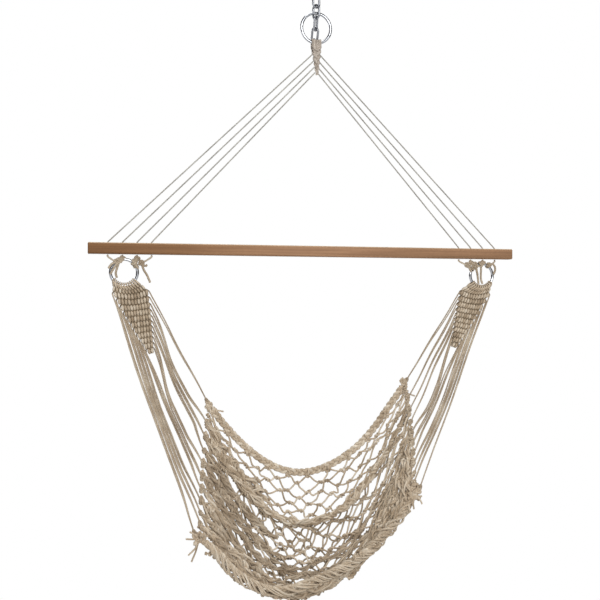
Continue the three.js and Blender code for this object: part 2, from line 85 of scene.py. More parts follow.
# ---------- node trees
def linear(code):
    """An sRGB hex code as a shader's linear colour."""
    parts = [int(code[i:i + 2], 16) / 255 for i in (1, 3, 5)]
    return (*(c / 12.92 if c <= 0.04045 else ((c + 0.055) / 1.055) ** 2.4 for c in parts), 1)


def join(start, end):
    """Links a node's first output, or a socket, to a socket."""
    start = start.outputs[0] if isinstance(start, bpy.types.Node) else start
    end.id_data.links.new(start, end)


def add_node(tree, kind, inputs=(), stops=(), **settings):
    """Inputs go by name or in order; stops are a colour ramp's. A kind without "Node" in
    its name is a shader node."""
    node = tree.nodes.new(kind if "Node" in kind else "ShaderNode" + kind)
    for name, value in settings.items():
        setattr(node, name, value)
    for key, value in inputs.items() if isinstance(inputs, dict) else enumerate(inputs):
        if isinstance(value, (bpy.types.Node, bpy.types.NodeSocket)):
            join(value, node.inputs[key])
        else:
            node.inputs[key].default_value = value
    if stops:
        elements = node.color_ramp.elements
        while len(elements) < len(stops):
            elements.new(0.5)
        for element, (position, code) in zip(elements, stops):
            element.position = position
            element.color = linear(code)
    return node


def new_material(name, **plain):
    """Also gives the adder of its nodes and its skin, with the plain values set."""
    material = bpy.data.materials.new(name)
    material.use_nodes = True
    tree = material.node_tree
    skin = tree.nodes["Principled BSDF"]
    for socket, value in plain.items():
        skin.inputs[socket.replace("_", " ")].default_value = value
    return material, partial(add_node, tree), skin


def rope_tree():
    """Laid rope: plies that wind round each route. A route's radius multiplies the
    cord's, so one piece can hold several thicknesses."""
    tree = bpy.data.node_groups.new("laid_rope", "GeometryNodeTree")
    add = partial(add_node, tree)
    for kind, names in (("Geometry", ["Route"]), ("Int", ["Plies", "Sides"]),
                        ("Float", ["Ply Radius", "Lay Radius", "Lay Length", "Step"]),
                        ("Material", ["Finish"])):
        for name in names:
            tree.interface.new_socket(name, in_out="INPUT", socket_type="NodeSocket" + kind)
    tree.interface.new_socket("Rope", in_out="OUTPUT", socket_type="NodeSocketGeometry")
    given = add("NodeGroupInput").outputs
    steps = add("GeometryNodeResampleCurve",
                {"Curve": given["Route"], "Length": given["Step"]}, mode="LENGTH")
    length = add("GeometryNodeSplineParameter").outputs["Length"]
    # every strand comes from another hank, so it has its own tone
    strand = add("GeometryNodeCurveOfPoint").outputs["Curve Index"]
    tone = add("FunctionNodeRandomValue", {"ID": strand, "Seed": 5}, data_type="FLOAT")
    stored = add("GeometryNodeStoreNamedAttribute",
                 {"Geometry": steps, "Name": "tone", "Value": tone.outputs[1]},
                 data_type="FLOAT", domain="POINT")
    copies = add("GeometryNodeDuplicateElements",
                 {"Geometry": stored, "Amount": given["Plies"]}, domain="SPLINE")
    ply = add("Math", [copies.outputs["Duplicate Index"], given["Plies"]], operation="DIVIDE")
    lays = add("Math", [length, given["Lay Length"]], operation="DIVIDE")
    turns = add("Math", [ply, lays], operation="ADD")
    angle = add("Math", [turns, TURN], operation="MULTIPLY")
    radius = add("GeometryNodeInputRadius")
    reach = add("Math", [given["Lay Radius"], radius], operation="MULTIPLY")
    tangent = add("GeometryNodeInputTangent")
    normal = add("GeometryNodeInputNormal").outputs["Normal"]
    sideways = add("VectorMath", [tangent, normal], operation="CROSS_PRODUCT")
    legs = []
    for wave, arm in (("COSINE", normal), ("SINE", sideways)):
        share = add("Math", [add("Math", [angle], operation=wave), reach], operation="MULTIPLY")
        legs.append(add("VectorMath", {0: arm, "Scale": share}, operation="SCALE"))
    offset = add("VectorMath", [legs[0], legs[1]], operation="ADD")
    wound = add("GeometryNodeSetPosition", {"Geometry": copies, "Offset": offset})
    section = add("GeometryNodeCurvePrimitiveCircle",
                  {"Resolution": given["Sides"], "Radius": given["Ply Radius"]}, mode="RADIUS")
    tube = add("GeometryNodeCurveToMesh", {"Curve": wound, "Profile Curve": section,
                                           "Scale": radius, "Fill Caps": True})
    whole = add("GeometryNodeRealizeInstances", {"Geometry": tube})
    shaded = add("GeometryNodeSetShadeSmooth", {"Geometry": whole})
    finished = add("GeometryNodeSetMaterial", {"Geometry": shaded, "Material": given["Finish"]})
    add("NodeGroupOutput", {"Rope": finished})
    return tree


ROPE_TREE = rope_tree()


# ---------- materials
# In repeats per metre: patches of 38 mm, and tufts of 1.1 mm, coarser than real fibres
# so that they show.
MOTTLING, TUFTS = 26, 900
# grain lines 200 mm long and 4 mm wide, in bands 330 mm long and 17 mm wide
GRAIN, GRAIN_BANDS = (5, 260, 260), (3, 60, 60)
# the painted highlight on the bar's upper edge: where below its top it starts and is full, in
# metres
EDGE_HIGHLIGHT_START, EDGE_HIGHLIGHT_FULL, EDGE_HIGHLIGHT_SHARE = 0.0026, 0.0008, 0.75


def rope_material(name, codes):
    # Cotton: matt, its tufts painted paler where the bump raises them and darker where it
    # sinks, a painted highlight and painted shade, with short fuzz that catches grazing light
    material, add, skin = new_material(name, Roughness=0.92, Specular_IOR_Level=0.2,
                                       Sheen_Weight=0.15, Sheen_Roughness=0.6)
    place = add("TexCoord").outputs["Object"]
    # one hank of yarn differs from the next
    broad = add("TexNoise", {"Vector": place, "Scale": MOTTLING, "Detail": 2})
    # the same noise raises the bump and pales the colour: painted light and shade on the tufts
    fine = add("TexNoise", {"Vector": place, "Scale": TUFTS, "Detail": 3})
    strand = add("Attribute", attribute_name="tone").outputs["Fac"]
    shade = 0
    for source, share in ((broad, 0.45), (fine, 0.3), (strand, 0.25)):
        shade = add("Math", [source, share, shade], operation="MULTIPLY_ADD")
    join(add("ValToRGB", {"Fac": shade}, stops=list(zip((0.3, 0.5, 0.7), codes))),
         skin.inputs["Base Color"])
    join(add("Bump", {"Strength": 0.35, "Distance": 0.0004, "Height": fine}),
         skin.inputs["Normal"])
    return material


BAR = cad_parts["spreader_bar"].data


def wood_material():
    # Oiled hardwood: red brown with long straight grain and a soft sheen
    material, add, skin = new_material("oiled_hardwood", Roughness=0.55, Specular_IOR_Level=0.2)
    place = add("TexCoord").outputs["Object"]
    # stretched along the bar, so that the grain runs its length
    along = add("Mapping", {"Vector": place, "Scale": GRAIN})
    grain = add("TexNoise", {"Vector": along, "Scale": 1, "Detail": 5, "Roughness": 0.6})
    wide = add("Mapping", {"Vector": place, "Scale": GRAIN_BANDS})
    bands = add("TexNoise", {"Vector": wide, "Scale": 1, "Detail": 2})
    shade = 0
    for source, share in ((grain, 0.55), (bands, 0.45)):
        shade = add("Math", [source, share, shade], operation="MULTIPLY_ADD")
    colour = add("ValToRGB", {"Fac": shade},
                 stops=((0.34, "#85654A"), (0.5, "#9D7759"), (0.66, "#B08868")))
    # darker towards the left end, in a ramp along the bar
    axes = add("SeparateXYZ", [place]).outputs
    reach = add("Math", [axes["X"], 0.5], operation="ADD")
    dark = add("ValToRGB", {"Fac": reach}, stops=(
        (0.04, "#C4B392"), (0.22, "#DACFB9"), (0.45, "#FFFFFF"), (0.98, "#FFFFFF")))
    end_darkened = add("Mix", {0: 1, 6: colour, 7: dark},
                  data_type="RGBA", blend_type="MULTIPLY").outputs[2]
    # painted highlight: the upper edge paler, where the light from above would catch it
    top = max(vertex.co.z for vertex in BAR.vertices)
    highlight_mask = add("MapRange", {0: axes["Z"], 1: top - EDGE_HIGHLIGHT_START, 2: top - EDGE_HIGHLIGHT_FULL,
                              3: 0, 4: EDGE_HIGHLIGHT_SHARE})
    highlighted = add("Mix", {0: highlight_mask, 6: end_darkened, 7: linear("#CDB292")}, data_type="RGBA")
    join(highlighted.outputs[2], skin.inputs["Base Color"])
    join(add("Bump", {"Strength": 0.15, "Distance": 0.0003, "Height": grain}),
         skin.inputs["Normal"])
    return material


def metal_material(name, code, roughness, speck):
    material, add, skin = new_material(name, Base_Color=linear(code), Metallic=1)
    place = add("TexCoord").outputs["Object"]
    noise = add("TexNoise", {"Vector": place, "Scale": speck, "Detail": 3})
    join(add("Math", [noise, roughness * 0.5, roughness * 0.75],
             operation="MULTIPLY_ADD"), skin.inputs["Roughness"])
    return material


# undyed cotton: a warm stone colour
ROPE = rope_material("undyed_cotton", ("#9A866D", "#C3B199", "#E3D7C4"))
# the braid on the ring, handled less and paler
BRAID_ROPE = rope_material("pale_cotton_braid", ("#8C7F70", "#B8ACA0", "#DAD2C7"))
# the cords above the bar: hard-laid and washed paler, so that they read as grey
GREY_ROPE = rope_material("washed_cotton_cord", ("#85817A", "#AFACA5", "#CFCCC4"))
# the cords that hang between the rings and the seat: the plain cotton painted a little darker,
# as painted shade
SHADE_DARKENED_ROPE = rope_material("shade_darkened_cotton_cord", ("#86735C", "#AE9C85", "#D0C3AE"))
# the net that hangs behind, in the shade of the front rows
BACK_ROPE = rope_material("shaded_cotton", ("#8D7A62", "#B7A58D", "#DBCEB9"))
# the same cotton painted darker, as painted shade in the grooves
GROOVE_SHADE_ROPE = rope_material("shaded_cotton_core", ("#6B5C48", "#7E6E58", "#948570"))
# bright chrome plate: a hard mirror that shows the dark and light around it, with
# specks of 8 mm in its gloss
CHROME = metal_material("bright_chrome", "#A9ABAF", 0.1, 120)
# zinc plate: greyer and softer, with its crystals of 3 mm, so that the links read as
# a duller metal
ZINC = metal_material("zinc_plate", "#96989D", 0.38, 300)

# A cord's diameter, the length of its lay and of a drawn step, the faces round a ply,
# a ply's share of the radius (three of 0.56 just bite into each other) and its finish.
Cord = namedtuple("Cord", "diameter lay step sides ply finish", defaults=(6, 0.56, ROPE))
BRAID_CORD = Cord(3, 8, 1, finish=BRAID_ROPE)
LONG_CORD = Cord(HANGING_CORD, 12, 1.2, finish=GREY_ROPE)
# the ties, the side folds and the hanging cords wear the cotton painted darker as shade
TIE_CORD = Cord(HANGING_CORD, 9, 1, finish=SHADE_DARKENED_ROPE)
EDGE_CORD = Cord(3, 24, 1.8, 8, 0.8)
NET_CORD = Cord(NET_STRAND + 0.6, 14, 2.6, 5, 0.8)
FOLD_CORD = Cord(NET_STRAND, 24, 3, 5, 0.9)
BACK_CORD = NET_CORD._replace(finish=BACK_ROPE)
SIDE_CORD = FOLD_CORD._replace(finish=SHADE_DARKENED_ROPE)
END_CORD = Cord(3.2, 11, 1.6)
HITCH_CORD = Cord(5.2, 17, 1.3, 7, 0.86)
GROOVE_SHADE_CORD = Cord(4.9, 17, 1.6, 6, 0.86, GROOVE_SHADE_ROPE)
HUNG_CORD = Cord(FAN_CORD + 0.8, 9.5, 1.9, 5, finish=SHADE_DARKENED_ROPE)


# ---------- making pieces
def new_object(name, data):
    thing = bpy.data.objects.new(name, data)
    bpy.context.scene.collection.objects.link(thing)
    return thing


def add_piece(name, mesh, body, replaced):
    mesh.name = name
    piece = new_object(name, mesh)
    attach(piece, body)
    if replaced:
        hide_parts(*replaced)


def route_curve(name, routes):
    """A curve from routes, each (points in mm, share of the cord's thickness)."""
    data = bpy.data.curves.new(name, "CURVE")
    data.dimensions = "3D"
    for points, share in routes:
        spline = data.splines.new("POLY")
        spline.points.add(len(points) - 1)
        for i, (knot, point) in enumerate(zip(spline.points, points)):
            knot.co = (*(Vector(point) + BAR_MIDDLE) * 0.001, 1)
            knot.radius = share[i] if isinstance(share, (list, tuple)) else share
    return new_object(name + "_route", data)


def made_mesh(curve):
    """The curve's finished mesh, in place of the curve."""
    bpy.context.view_layer.update()
    seen = curve.evaluated_get(bpy.context.evaluated_depsgraph_get())
    mesh = bpy.data.meshes.new_from_object(seen)
    bpy.data.curves.remove(curve.data)
    return mesh


def rope_piece(name, routes, cord, *replaced, body="seat"):
    curve = route_curve(name, routes)
    modifier = curve.modifiers.new("laid_rope", "NODES")
    modifier.node_group = ROPE_TREE
    radius = cord.diameter / 2 * 0.001
    values = {"Plies": 3, "Sides": cord.sides, "Finish": cord.finish,
              "Ply Radius": radius * cord.ply, "Lay Radius": radius * (1 - cord.ply),
              "Lay Length": cord.lay * 0.001, "Step": cord.step * 0.001}
    for item in ROPE_TREE.interface.items_tree:
        if item.in_out == "INPUT" and item.name in values:
            modifier[item.identifier] = values[item.name]
    add_piece(name, made_mesh(curve), body, replaced)


def wire_piece(name, body, points, wire, material, replaced):
    """A closed loop of round wire through the points."""
    curve = route_curve(name, [(points, 1)])
    curve.data.bevel_depth = wire / 2 * 0.001
    curve.data.bevel_resolution = 7
    curve.data.splines[0].use_cyclic_u = True
    mesh = made_mesh(curve)
    mesh.materials.clear()
    mesh.materials.append(material)
    mesh.polygons.foreach_set("use_smooth", [True] * len(mesh.polygons))
    add_piece(name, mesh, body, [replaced])


# ---------- routes
def lerp(a, b, share):
    return a + (b - a) * share


def shares(count):
    """0 to 1 in equal steps."""
    return [k / count for k in range(count + 1)]


def clamped(share):
    return min(1, max(0, share))


def ease(x, start, end):
    t = clamped((x - start) / (end - start))
    return t * t * (3 - 2 * t)


def bump(x, centre, width):
    return exp(-((x - centre) / width) ** 2)


def spoke(angle):
    """The way out from a ring's centre, at an angle from straight up."""
    return ACROSS * sin(angle) + UP * cos(angle)


def smooth(points, step):
    """A Catmull-Rom route through the points, in steps of about `step` mm."""
    points = [Vector(p) for p in points]
    ends = [points[0] * 2 - points[1]] + points + [points[-1] * 2 - points[-2]]
    out = []
    for a, b, c, d in zip(ends, ends[1:], ends[2:], ends[3:]):
        count = max(1, round((c - b).length / step))
        for k in range(count):
            t = k / count
            out.append(0.5 * ((2 * b) + (c - a) * t + (2 * a - 5 * b + 4 * c - d) * t * t
                              + (3 * b - a - 3 * c + d) * t ** 3))
    return out + [points[-1]]


def ways_at(route, k):
    """Along a route at a point, square to it in the chair's own plane, and forward."""
    along = (route[min(k + 1, len(route) - 1)] - route[max(k - 1, 0)]).normalized()
    side = along.cross(AHEAD).normalized()
    return along, side, side.cross(along).normalized()


def square_to(along, way, instead):
    """Square to a cord and to a way, or `instead` where the cord runs along that way."""
    side = along.cross(way)
    return side.normalized() if side.length > 0.1 else instead


def knot_route(centre, direction, size, cord, turn):
    """An overhand knot pulled tight: a small trefoil."""
    along = Vector(direction).normalized()
    side = square_to(along, AHEAD, ACROSS)
    face = along.cross(side)
    scale = (size - cord) / 6
    route = []
    for k in range(24):
        t = TURN * k / 22 + turn
        wide = 2 + cos(3 * t)
        route.append(Vector(centre) + scale * (
            along * wide * cos(2 * t) * 1.15 + side * wide * sin(2 * t)
            + face * sin(3 * t) * 1.5))
    return route


def braid(route, halves, slim, deep, pitch, cord):
    """Three strands that cross along a route. A strand is the share `slim` of the half
    width, and `deep` of it goes in and out."""
    strands = [], [], []
    length = 0
    for i, (point, half) in enumerate(zip(route, halves)):
        if i:
            length += (point - route[i - 1]).length
        _, side, face = ways_at(route, i)
        for s, strand in enumerate(strands):
            t = TURN * (length / pitch + s / 3)
            strand.append(point + side * sin(t) * half * (1 - slim)
                          + face * sin(2 * t) * half * slim * deep)
    thicks = [half * slim * 2 / cord.diameter for half in halves]
    return [(strand, thicks) for strand in strands]


# ---------- rings, chain and wood
LOWER_CENTRES = {side: Vector((sign * LOWER_RING_REACH, 0, LOWER_RING_HEIGHT))
                 for side, sign in SIDES}
for name, centre, radius, body in (
        ("top_ring", TOP_RING_CENTRE, TOP_RADIUS, "rigging"),
        *((side + "_ring", LOWER_CENTRES[side], LOWER_RADIUS, "seat") for side, _ in SIDES)):
    loop = [centre + spoke(TURN * t) * radius for t in shares(128)[:-1]]
    wire_piece(name + "_bright", body, loop, RING_WIRE, CHROME, name)

LINK_PITCH = LINK_LENGTH - LINK_WIRE


def tilted(lean, turn=0):
    return Matrix.Rotation(radians(lean), 3, "X") @ Matrix.Rotation(radians(turn), 3, "Z")


def link_points(crown, turn, lean):
    bend = (LINK_WIDTH - LINK_WIRE) / 2
    points = []
    for end in (1, -1):
        for t in shares(24):
            flat = Vector((bend * cos(pi * t), 0, LINK_PITCH / 2 - bend + bend * sin(pi * t)))
            points.append(crown + tilted(lean, turn) @ (flat * end - UP * LINK_PITCH / 2))
    return points


# each tail link hangs on the lower crown of the one before
first_tail = TOP_RING_CENTRE.z + TOP_RADIUS - (RING_WIRE + LINK_WIRE) / 2 - CROWN_GAP
crown = Vector((TOP_RING_CENTRE.x, 0, first_tail))
rise = Vector((0, 0, LINK_PITCH - LINK_WIRE - CROWN_GAP))
links = [("hanging_link", crown + rise * 2, HANGING_TURN, 0, "hanger"),
         ("ring_link", crown + rise, -LINK_TURN, 0, "chain")]
for i, (lean, body) in enumerate(zip(TAIL_LEANS, ("chain", "second_tail", "third_tail"))):
    if i:
        crown = (crown - tilted(TAIL_LEANS[i - 1]) @ UP * LINK_PITCH
                 + tilted(lean) @ UP * (LINK_WIRE + CROWN_GAP))
    links.append((f"tail_link_{i + 1}", crown, -LINK_TURN if i % 2 else LINK_TURN, lean, body))
for name, crown, turn, lean, body in links:
    wire_piece(name + "_welded", body, link_points(crown, turn, lean), LINK_WIRE, ZINC,
               name)

BAR.materials[0] = wood_material()

# ---------- braid and cords at the top
BRAID_TOP = TOP_RING_CENTRE.z - TOP_RADIUS
# the hitch's loops as (y, z) and the band across them as (x, y, z), from the ring
HITCH_LOOP = ((-4, -21), (-5.6, -12), (-5.2, -4), (-4.94, 1.5), (-3.12, 4.6), (0, 5.8),
              (3.12, 4.6), (4.94, 1.5), (5.2, -4), (5.6, -12), (4, -21))
HITCH_BAND = ((-9.5, 2, -6), (-7.5, 6.4, -11), (-2.5, 8, -16), (2.5, 8, -16),
              (7.5, 6.4, -11), (9.5, 2, -6))
HITCH_LOOPS, HITCH_REACH = 6, 8.4
# half the flat braid's width at its top and at its end, and the length of a crossing
BRAID_WIDE, BRAID_THIN, BRAID_PITCH = 10.2, 3.4, 34


def top_braid():
    routes = []
    # loops side by side over the ring's wire, drawn together below it
    for t in shares(HITCH_LOOPS - 1):
        x = lerp(-HITCH_REACH, HITCH_REACH, t)
        wire = TOP_RING_CENTRE.z - cos(asin(x / TOP_RADIUS)) * TOP_RADIUS
        loop = [(TOP_RING_CENTRE.x + x * (1 - 0.35 * max(0, -z / 21) ** 2), y, wire + z)
                for y, z in HITCH_LOOP]
        routes.append((smooth(loop, 1), 1.28))
    # the band of the hitch that crosses the loops in front and behind
    for face in (-1, 1):
        band = [(TOP_RING_CENTRE.x + x, face * y, BRAID_TOP + z) for x, y, z in HITCH_BAND]
        routes.append((smooth(band, 1), 1.3))
    # the flat braid, tapering to the last pair of cords
    spine, halves = [], []
    for t in shares(60):
        share = lerp(0.12, 1.02, t)
        spine.append(Vector((TOP_RING_CENTRE.x + 2 * share, 0,
                             BRAID_TOP - BRAID_LENGTH * share)))
        halves.append(lerp(BRAID_WIDE, BRAID_THIN, max(0, (share - 0.3) / 0.72)))
    return routes + braid(spine, halves, 0.44, 0.85, BRAID_PITCH, BRAID_CORD)


rope_piece("top_braid_rope", top_braid(), BRAID_CORD, "top_braid", body="rigging")


def hole_place(index):
    return BAR_LENGTH / 2 - FIRST_HOLE - index * HOLE_PITCH


for side, sign in SIDES:
    for i, (share, width) in enumerate(BRAID_TIERS):
        reach = BRAID_HALF * width + GAP + HANGING_CORD / 2 * 0.75
        start = Vector((TOP_RING_CENTRE.x + sign * reach * 0.45, 0,
                        BRAID_TOP - BRAID_LENGTH * share + 3))
        bend = Vector((sign * hole_place(i), 0, BAR_TOP + HANGING_CORD / 2))
        run = (bend - start).normalized()
        # straight down to the bar, round the hole's edge and through it
        low = bend - run * 6
        into = [low, bend - run * 1.2 - UP * 0.4, bend - UP * 2.2, (bend.x, 0, -BAR_TOP)]
        points = [start.lerp(low, k / 60) for k in range(60)] + smooth(into, 1)
        name = f"suspension_cord_{side}_{i + 1}"
        rope_piece(name + "_laid", [(points, 1)], LONG_CORD, name, body="rigging")


# ---------- ties
# For each tie, outermost hole first: where its knot sits about the ring's centre,
# the knot's size, and the runs of cord that leave it, all as (x, y, z).
TIES = {
    "left": (
        ((-15, -5, 21), 8.5, [((-9, -4, -5), (-15, -5, -13))]),
        ((-9, -6, 23), 10.5, [((-6, -2, -8), (-15, -1, -22), (-17, -3, -26)),
                              ((-3, 0, -10), (-7, 1, -24), (-5, -1, -33))]),
        ((20, -5, 21), 10.5, [((4, -2, -9), (7, -3, -13))]),
        ((33, -5, 19), 10, [((5, 0, -14), (11, -1, -24), (17, -1, -38)),
                            ((7, -1, -6), (11, -2, -4))])),
    "right": (
        ((16, -5, 23), 9.5, [((7, -2, 2), (12, -3, -4), (12, -4, -12), (8, -5, -20))]),
        ((-2, -2.5, 24.5), 11, [((0, 0, -12), (0, 1, -30), (3, 0, -42))]),
        ((-16, -2.5, 22.5), 12, [((4, 0, -12), (7, 1, -28), (8, 0, -40)),
                                 ((1, -3, -9), (4, -4, -20))]),
        ((-34, -4, 22), 11, [((4, -2, -8), (7, -3, -14))])),
}
# turns of cord round the ring's wire
COIL_TURNS = 3


def tie_routes(side, sign, index):
    centre = LOWER_CENTRES[side]
    offset, size, runs = TIES[side][index]
    angle = atan2(offset[0], offset[2])
    half, reach = FAN_CORD * 1.3 / LOWER_RADIUS, (RING_WIRE + FAN_CORD) / 2 + 0.1
    coil = []
    for t in shares(42):
        spin = t * COIL_TURNS * TURN
        out = spoke(lerp(angle - half, angle + half, t)) * (LOWER_RADIUS + cos(spin) * reach)
        coil.append(centre + out + AHEAD * sin(spin) * reach)
    knot = centre + Vector(offset)
    hinge = Vector((sign * hole_place(index), 0, -BAR_TOP - GAP - HANGING_CORD / 2))
    below = hinge + Vector((0, -1, -3.5))
    drop = smooth([hinge, below, below.lerp(knot, 0.6) + Vector((0, -1, -1)), knot], 1)
    routes = [(coil, 0.9), (drop, 1.3)]
    # each knot: its place, the way it lies, its size, its turn and its cord's thickness
    knots = [(knot, knot - hinge, size * 1.25, index, 1.35),
             (knot + Vector((0, 2.5, 1.5)), (1, 0, 0.4), size * 1.1, index + 2, 1.3)]
    if index in (1, 2):
        knots.insert(0, (hinge + Vector((0, -1, -6.5)), ACROSS, 12, index, 1.45))
    for place, way, wide, turn, thick in knots:
        routes.append((knot_route(place, way, wide, HANGING_CORD, turn), thick))
    for run in runs:
        routes.append((smooth([knot] + [knot + Vector(step) for step in run], 1), 1.65))
    return routes


for side, sign in SIDES:
    for i in range(HOLES):
        name = f"ring_tie_{side}_{i + 1}"
        rope_piece(name + "_laid", tie_routes(side, sign, i), TIE_CORD, name)


# ---------- seat's surface
# Where its edges (0 is the back, 1 the front) hang unevenly: by how many mm, and the
# bump's place and width in the seat's half width.
PULLED = ((0, 8, -1, 0.15), (0, 5, 0.6, 0.35), (1, 6, -0.9, 0.15))
RAISED = ((0, -10, -1, 0.15), (0, -5, -0.1, 0.5), (0, -6, 0.65, 0.4), (0, -8, 1, 0.12),
          (1, 9, -0.88, 0.12), (1, -15, -0.4, 0.28), (1, 7, 0.15, 0.25), (1, 10, 0.6, 0.25))
# how far the front right corner has slipped inward
SLIPPED = 20
# pleats: mm of lift between two depths, and mm forward at a depth, and how wide
LIFTS = ((26, 0.15, 0.25), (-8, 0.26, 0.42), (-18, 0.45, 0.72))
PLEATS = ((-16, 0.19, 0.05), (7, 0.3, 0.04), (-10, 0.4, 0.05))


def even_seat_point(u, v):
    """u runs across from -1 to 1, v from the back edge at 0 to the front one at 1."""
    reach, drop, lean, shift, sag, y = (lerp(BACK[part], FRONT[part], v) for part in (
        "reach", "drop", "lean", "shift", "sag", "y"))
    sag += BELLY * 4 * v * (1 - v)
    return Vector((shift + u * reach, y, u * lean - drop - sag * (1 - u * u)))


def seat_point(u, v):
    """The seat as this one hangs: its edges sag a little unevenly."""
    near = ((1 - v) ** 2, v * v)
    across, rise = (sum(near[edge] * move * bump(u, at, width)
                        for edge, move, at, width in bumps) for bumps in (PULLED, RAISED))
    across -= near[1] * SLIPPED * ease(u, 0.5, 1)
    return even_seat_point(u, v) + Vector((across, 0, rise))


def net_point(u, v):
    """The net itself: the plain surface with the pleats that it hangs in."""
    lift = sum(height * ease(v, start, end) for height, start, end in LIFTS)
    forward = sum(move * bump(v, at, width) for move, at, width in PLEATS)
    return seat_point(u, v) + Vector((0, forward, lift)) * (1 - u ** 4)


def edge_route(edge):
    """The middle of an edge rope, and the middles of the knots that end it."""
    v, outward = (0, -1) if edge is BACK else (1, 1)
    offset = edge["rope"] / 2 + NET_CORNER + GAP
    step = 0.01
    route = []
    for t in shares(80):
        u = t * 2 - 1
        place = seat_point(u, v)
        side = (seat_point(u + step, v) - place).normalized()
        down = (seat_point(u, v + step) - place).normalized()
        square = down - side * down.dot(side)
        route.append(place + square.normalized() * outward * offset)
    knots = [end + (end - inner).normalized() * edge["knot"] / 2
             for end, inner in ((route[0], route[1]), (route[-1], route[-2]))]
    return route, knots


EDGES = {"back": edge_route(BACK), "front": edge_route(FRONT)}

# the braids' widths: wider than the solids' ropes, because their strands lie loose
for which, edge, full in (("back", BACK, 16.5), ("front", FRONT, 13)):
    route, knots = EDGES[which]
    fine = smooth(route, 1.6)
    routes = braid(fine, [full / 2] * len(fine), 0.42, 0.84, full * 2.3, EDGE_CORD)
    for k, (knot, inner) in enumerate(zip(knots, (route[0], route[-1]))):
        for turn in (0, 1.1):
            routes.append((knot_route(knot, knot - inner, edge["knot"], 4.6, k + turn),
                           4.6 / EDGE_CORD.diameter))
    rope_piece(f"{which}_edge_rope_braided", routes, EDGE_CORD, f"{which}_edge_rope")


# ---------- the net
def twisted_knot(centre, along, turn, reach, swell=2):
    """Where two strands meet they twist round each other before they part."""
    along = along.normalized()
    face = square_to(along, UP, AHEAD)
    rise = face.cross(along)
    pair = []
    for start in (0, pi):
        route = []
        for t in shares(8):
            angle = start + turn + t * TURN * 0.8
            out = swell * (1 + 0.35 * sin(pi * t))
            route.append(centre + along * lerp(-reach, reach, t)
                         + rise * cos(angle) * out + face * sin(angle) * out)
        pair.append(route)
    return pair


def mesh_layer(place_at, across, rows, seed, stray_at):
    """Rows of twisted knots joined by slack strands, as lists of routes by row."""
    pick = Random(seed).uniform
    points, sides = {}, {}
    for i in range(across + 1):
        for j in range(i % 2, rows + 1, 2):
            u = i / across * 2 - 1
            wild = stray_at(u, j) if 0 < i < across and 0 < j < rows else 0
            stray = Vector([pick(-wild, wild) for _ in range(3)])
            points[i, j] = place_at(u, j) + stray
            tilt = Vector((0, pick(-1, 1), pick(-1, 1))) * wild * 0.08
            chord = place_at(min(1, u + 0.02), j) - place_at(max(-1, u - 0.02), j)
            sides[i, j] = (chord.normalized() + tilt).normalized()
    routes = [[] for _ in range(rows + 1)]
    for (i, j), place in points.items():
        along = sides[i, j]
        reach = KNOT_REACH * pick(0.8, 1.25)
        for route in twisted_knot(place, along, pick(0, 6.28), reach):
            routes[j].append((route, 1.12))
        for di in (-1, 1):
            other = points.get((i + di, j + 1))
            if other is None:
                continue
            start = place + along * di * reach * 0.9
            end = other - sides[i + di, j + 1] * di * KNOT_REACH * 0.9
            slack = pick(1.5, 8)
            drift = Vector((pick(-0.6, 0.6), pick(-0.8, 0.8), pick(-1, 0.3)))
            skew = pick(-1.6, 1.6)
            routes[j].append(([start.lerp(end, t) + drift * slack * 4 * t * (1 - t)
                               * (1 + skew * (t - 0.5) * 2) for t in shares(8)], 1))
    return routes


# where the net is drawn together into rolls, from the back edge to the front
ROLLS = (0.24, 0.34, 0.44, 0.54, 0.64, 0.74, 0.84, 0.93)
# the layer that hangs folded behind: meshes across and rows
FOLDED_ACROSS, FOLDED_ROWS = 22, 18


def drawn(u, v):
    """At the sides the rows close up into the rolls, with gaps between them."""
    near = min(ROLLS, key=lambda line: abs(line - v))
    pull = (0.75 * ease(-u, 0.1, 0.65) * ease(v, 0.17, 0.24)
            + 0.6 * ease(u, 0.45, 0.85) * ease(v, 0.5, 0.62))
    return lerp(v, near, pull)


def front_layer(u, j):
    """The rows below the open ones fold up."""
    deep = (j / OPEN_ROWS * OPEN_DEEP if j <= OPEN_ROWS
            else lerp(OPEN_DEEP, 1, (j - OPEN_ROWS) / (NET_DEEP - OPEN_ROWS)))
    return net_point(u, drawn(u, deep))


def folded_layer(u, j):
    """The rows that hang in the folds behind, a little lower."""
    v = drawn(u, lerp(0.2, 0.94, j / FOLDED_ROWS))
    return net_point(u, v) + Vector((0, 13, -9)) * (1 - u ** 6)


